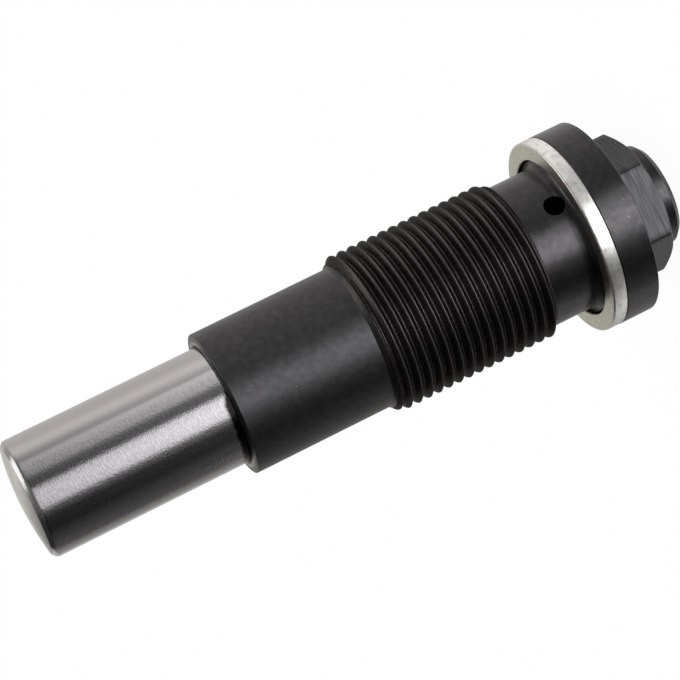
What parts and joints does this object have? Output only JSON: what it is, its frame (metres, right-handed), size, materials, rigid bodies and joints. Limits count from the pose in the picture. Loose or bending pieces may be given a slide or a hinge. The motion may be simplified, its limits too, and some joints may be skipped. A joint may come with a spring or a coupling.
{
  "type": "timing chain tensioner",
  "caption": "Screw-in hydraulic chain tensioner: black threaded steel housing with hexagon head and flange, aluminium seal ring and a spring-loaded ground steel plunger.",
  "frame": {"origin": "centre of the seal ring's front face, the plane that seats on the engine", "axes": "+Z along the axis, from the head towards the plunger's tip; -Y through the oil hole; +X across the hexagon's flats"},
  "size_m": [0.027, 0.027, 0.0921],
  "materials": {
    "black_steel": "satin black phosphated steel",
    "seal_aluminium": "soft aluminium with a bright turned edge",
    "ground_steel": "ground around its length",
    "spring_steel": "drawn wire, lightly oiled",
    "filler_plastic": "moulded nylon",
    "valve_steel": "turned and pressed steel",
    "ball_steel": "polished bearing ball"
  },
  "bodies": {
    "housing": {"housing": "black_steel", "seal_ring": "seal_aluminium", "valve_seat": "valve_steel", "ball_cage": "valve_steel", "ball_spring": "spring_steel", "main_spring": "spring_steel"},
    "plunger": {"plunger": "ground_steel", "retaining_ring": "spring_steel", "filler_pin": "filler_plastic"},
    "check_ball": {"check_ball": "ball_steel"}
  },
  "joints": [
    {"name": "plunger_slide", "type": "slide", "parent": "housing", "child": "plunger", "axis": [0, 0, 1], "range_m": [-0.013, 0], "stiffness_N_per_m": 2000, "springref_m": 0.0075, "deforming": ["main_spring"]},
    {"name": "check_ball_lift", "type": "slide", "parent": "housing", "child": "check_ball", "axis": [0, 0, 1], "range_m": [0, 0.0008], "stiffness_N_per_m": 20, "springref_m": -0.0005, "deforming": ["ball_spring"]}
  ]
}
